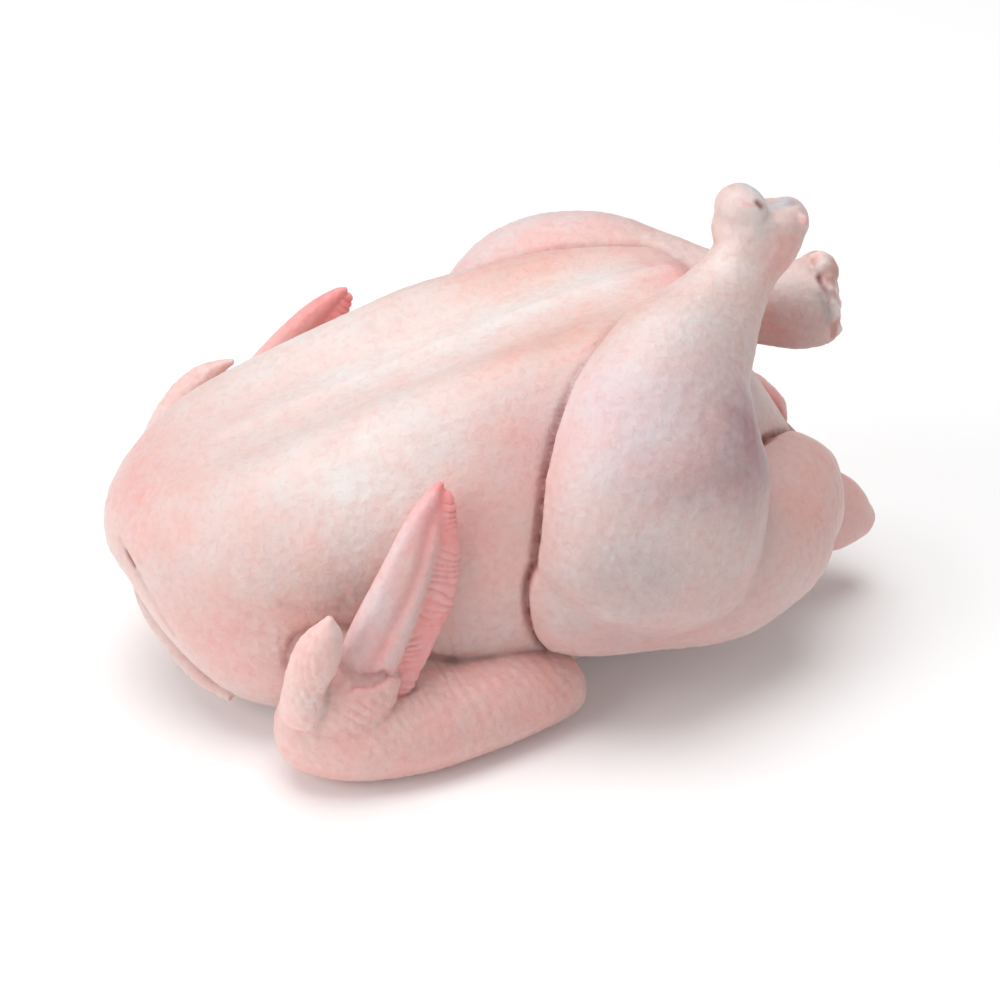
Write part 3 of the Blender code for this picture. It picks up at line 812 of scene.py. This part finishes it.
def relief(points, shares, seam_gap, seam_depth):
    """How far each skin point stands out, in metres."""
    folded = right_side(points)
    high = 0.00040 * noise(points, 0.028, 10) + 0.00022 * noise(points, 0.011, 11)
    leg = shares["drumstick"] + shares["thigh"]
    wing = sum(shares[name] for name in ("forearm", "hand", "thumb", "upper_wing"))
    low_breast = shares["torso"] * np.clip((0.090 - points[:, 2]) / 0.02, 0, 1)
    pimples = follicles(points)
    high += pimples * (0.00022 * leg + 0.00040 * wing + 0.00020 * low_breast)
    cut = cut_end(points)
    high += cut * (0.0008 * noise(points, 0.0030, 14) - 0.0004)
    high += 0.00008 * noise(points, 0.0025, 12)
    for path, width, height, _, _, both in LINES:
        gap = path_distance(folded if both else points, path)
        high += height * np.exp(-((gap / width) ** 2))
    for i, (centre, reach, direction, spacing, height, both) in enumerate(WRINKLES):
        weight = blob(folded if both else points, centre, reach)
        high += height * weight * wrinkled(folded if both else points, direction, spacing, 30 + 2 * i)
    high += 0.0014 * shares["flap"] * leaf_wrinkles(points)
    uneven = 0.85 + 0.5 * noise(points, 0.009, 19)
    high -= seam_depth * uneven * np.exp(-seam_gap / FOLD_WIDTH)
    lip = np.exp(-(((seam_gap - LIP_CENTRE) / LIP_WIDTH) ** 2))
    high += 0.20 * seam_depth * lip * (0.7 + 0.6 * noise(points, 0.006, 18)) * leg
    return high


def build_skin():
    """The finished skin mesh, inside the box of the solid."""
    masses = body_masses()
    skin = fused_skin(masses)
    points = read(skin.data)[0]
    low, high = (np.array(corner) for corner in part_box("chicken"))
    middle = (points.min(axis=0) + points.max(axis=0)) / 2
    seam_gap, seam_depth = seams(points, masses)
    add_mark(skin.data, "gap", seam_gap)
    add_mark(skin.data, "depth", seam_depth)
    refined(skin.data, seam_gap)
    seam_gap, seam_depth = taken_mark(skin.data, "gap"), taken_mark(skin.data, "depth")
    points, _, edges = read(skin.data)
    shares = mass_shares(points, masses, edges)
    seam_depth *= 0.3 + 0.7 * np.clip((FOLD_TOP - points[:, 2]) / FOLD_TOP_FADE, 0, 1)
    seam_gap = np.maximum(seam_gap - FOLD_FLOOR, 0)
    # How strongly each point gets the painted shade of its fold.
    painted_fold_shade = seam_depth / FOLD_DEPTH["leg"] * np.exp(-seam_gap / FOLD_LINE)

    eased = averaged(points, edges, EASE_ROUNDS)
    ease = sum(blob(points, centre, reach) for centre, reach in EASED)
    points += np.clip(1.4 * ease, 0, 1)[:, None] * (eased - points)
    write(skin.data, points)
    normals = read(skin.data)[1]

    points[:, :2] += ((low + high) / 2 - middle)[:2]
    out = relief(points, shares, seam_gap, seam_depth)
    tint = skin_tint(points, shares, painted_fold_shade)
    write(skin.data, np.clip(points + normals * out[:, None], low, high))
    attribute = skin.data.attributes.new("tint", "FLOAT_COLOR", "POINT")
    attribute.data.foreach_set("color", np.column_stack([tint, np.ones(len(tint))]).ravel())
    add_mark(skin.data, "leg", shares["drumstick"] + shares["thigh"])
    wing = shares["forearm"] + shares["hand"] + shares["thumb"] + shares["flap"]
    add_mark(skin.data, "wing", wing)
    skin.data.shade_smooth()
    return skin


# ---------------------------------------------------------------- materials

class Nodes:
    """Short calls to build a node tree."""

    def __init__(self, material):
        material.use_nodes = True
        self.tree = material.node_tree
        self.shader = self.tree.nodes["Principled BSDF"]

    def add(self, kind, inputs=(), **settings):
        node = self.tree.nodes.new(kind)
        for key, value in settings.items():
            setattr(node, key, value)
        for key, value in dict(inputs).items():
            if isinstance(value, bpy.types.NodeSocket):
                self.tree.links.new(value, node.inputs[key])
            else:
                node.inputs[key].default_value = value
        return node

    def maths(self, operation, first, second=0.0):
        return self.add("ShaderNodeMath", {0: first, 1: second}, operation=operation).outputs[0]

    def mark(self, name):
        return self.add("ShaderNodeAttribute", attribute_name=name)

    def mix(self, share, first, second, blend="MIX"):
        node = self.add("ShaderNodeMix", data_type="RGBA", blend_type=blend)
        for socket, value in ((node.inputs[0], share), (node.inputs[6], first),
                              (node.inputs[7], second)):
            if isinstance(value, bpy.types.NodeSocket):
                self.tree.links.new(value, socket)
            else:
                socket.default_value = value
        return node.outputs[2]

    def ramp(self, value, low, high, to_low=0.0, to_high=1.0):
        return self.add("ShaderNodeMapRange", {
            "Value": value, "From Min": low, "From Max": high,
            "To Min": to_low, "To Max": to_high,
        }).outputs[0]


def colour(values):
    return (*values, 1.0)


def skin_material():
    """Moist skin: the colours by place, with fine mottling and grain."""
    material = bpy.data.materials.new("raw_skin")
    nodes = Nodes(material)
    place = nodes.add("ShaderNodeTexCoord").outputs["Object"]
    tint = nodes.mark("tint").outputs["Color"]
    leg = nodes.mark("leg").outputs["Fac"]
    wing = nodes.mark("wing").outputs["Fac"]

    # Broad patches, pink against cream.
    patch = nodes.add("ShaderNodeTexNoise", {"Vector": place, "Scale": 75.0, "Detail": 4.0})
    fine = nodes.add("ShaderNodeTexNoise", {
        "Vector": place, "Scale": 420.0, "Detail": 3.0, "Distortion": 0.6})
    pores = nodes.add("ShaderNodeTexVoronoi", {"Vector": place, "Scale": 330.0})
    pinker = nodes.mix(1.0, tint, (1.03, 0.95, 0.94, 1), "MULTIPLY")
    paler = nodes.mix(1.0, tint, (0.98, 1.03, 1.04, 1), "MULTIPLY")
    base = nodes.mix(nodes.ramp(patch.outputs[0], 0.35, 0.65), pinker, paler)
    spots = nodes.ramp(pores.outputs["Distance"], 0.08, 0.42, 1.0, 0.0)
    spots = nodes.maths("MULTIPLY", spots, nodes.ramp(patch.outputs[0], 0.42, 0.62, 0.2, 1.0))
    rough_places = nodes.maths("ADD", nodes.maths("MULTIPLY", leg, 0.26),
                               nodes.maths("MULTIPLY", wing, 0.22))
    # Paler follicles, most of all on the legs and the wings, and a redder mesh between them.
    lighter = nodes.mix(1.0, base, (1.14, 1.14, 1.13, 1), "MULTIPLY")
    base = nodes.mix(nodes.maths("MULTIPLY", spots, nodes.maths("ADD", rough_places, 0.10)),
                     base, lighter)
    redder = nodes.mix(1.0, base, (0.97, 0.885, 0.88, 1), "MULTIPLY")
    base = nodes.mix(nodes.ramp(fine.outputs[0], 0.47, 0.68, 0.0, 0.85), base, redder)
    nodes.tree.links.new(base, nodes.shader.inputs["Base Color"])

    grain = nodes.add("ShaderNodeTexNoise", {"Vector": place, "Scale": 900.0, "Detail": 2.0})
    height = nodes.maths("ADD", nodes.maths("MULTIPLY", spots, 0.12),
                         nodes.maths("MULTIPLY", fine.outputs[0], 0.7))
    height = nodes.maths("ADD", height, nodes.maths("MULTIPLY", grain.outputs[0], 0.2))
    bump = nodes.add("ShaderNodeBump", {"Height": height, "Strength": 0.5, "Distance": 0.0007})
    nodes.tree.links.new(bump.outputs[0], nodes.shader.inputs["Normal"])
    wet = nodes.ramp(patch.outputs[0], 0.3, 0.7, 0.40, 0.52)
    nodes.tree.links.new(wet, nodes.shader.inputs["Roughness"])
    for key, value in {
        "Metallic": 0.0, "IOR": 1.40, "Specular IOR Level": 0.42, "Coat Weight": 0.12,
        "Coat Roughness": 0.30, "Subsurface Weight": 0.30,
        "Subsurface Radius": (1.0, 0.45, 0.35), "Subsurface Scale": 0.0020,
    }.items():
        nodes.shader.inputs[key].default_value = value
    return material


def plain_material(name, values, roughness):
    material = bpy.data.materials.new(name)
    nodes = Nodes(material)
    nodes.shader.inputs["Base Color"].default_value = colour(values)
    nodes.shader.inputs["Roughness"].default_value = roughness
    return material


# ---------------------------------------------------------------- table, light and camera

AIM = Vector((0.0, 0.0, 0.046))
AZIMUTH, ELEVATION, DISTANCE = math.radians(-14), math.radians(29), 1.10
FOCAL = 125.93


def set_stage():
    """The white table, the two soft lights and the room's light."""
    shape = bmesh.new()
    bmesh.ops.create_grid(shape, x_segments=1, y_segments=1, size=6.0)
    table = object_from(shape, "table")
    white = plain_material("white_table", (0.95, 0.95, 0.95), 0.7)
    white.node_tree.nodes["Principled BSDF"].inputs["Emission Color"].default_value = (1, 1, 1, 1)
    white.node_tree.nodes["Principled BSDF"].inputs["Emission Strength"].default_value = 0.07
    table.data.materials.append(white)

    def softbox(name, place, size, power):
        light = bpy.data.lights.new(name, "AREA")
        light.shape = "DISK"
        light.size, light.energy = size, power
        lamp = bpy.data.objects.new(name, light)
        lamp.location = place
        lamp.rotation_euler = (AIM - Vector(place)).to_track_quat("-Z", "Y").to_euler()
        bpy.context.scene.collection.objects.link(lamp)

    softbox("overhead", (-0.15, 0.15, 2.00), 2.0, 33.0)
    softbox("left_side", (-2.00, -0.75, 0.95), 2.2, 25.0)
    world = bpy.data.worlds.new("room")
    world.use_nodes = True
    world.node_tree.nodes["Background"].inputs["Color"].default_value = (1, 1, 1, 1)
    world.node_tree.nodes["Background"].inputs["Strength"].default_value = 0.30
    bpy.context.scene.world = world


def set_camera():
    """A long lens on a point inside the bird, from the photo's side and height."""
    back = Vector((math.sin(AZIMUTH) * math.cos(ELEVATION),
                   -math.cos(AZIMUTH) * math.cos(ELEVATION), math.sin(ELEVATION)))
    right = Vector((math.cos(AZIMUTH), math.sin(AZIMUTH), 0))
    up = back.cross(right)
    lens = bpy.data.cameras.new("camera")
    lens.sensor_width, lens.lens, lens.clip_end = 36, FOCAL, 20
    camera = bpy.data.objects.new("camera", lens)
    camera.matrix_world = Matrix.Translation(AIM + DISTANCE * back) @ Matrix(
        (right, up, back)).transposed().to_4x4()
    bpy.context.scene.collection.objects.link(camera)
    bpy.context.scene.camera = camera
    bpy.context.scene.view_settings.view_transform = "Standard"


def build():
    """The bird in its place, on its table."""
    skin = build_skin()
    skin.data.materials.clear()
    skin.data.materials.append(skin_material())
    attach(skin, "root")
    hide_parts("chicken")
    set_stage()
    set_camera()


build()
note_size()
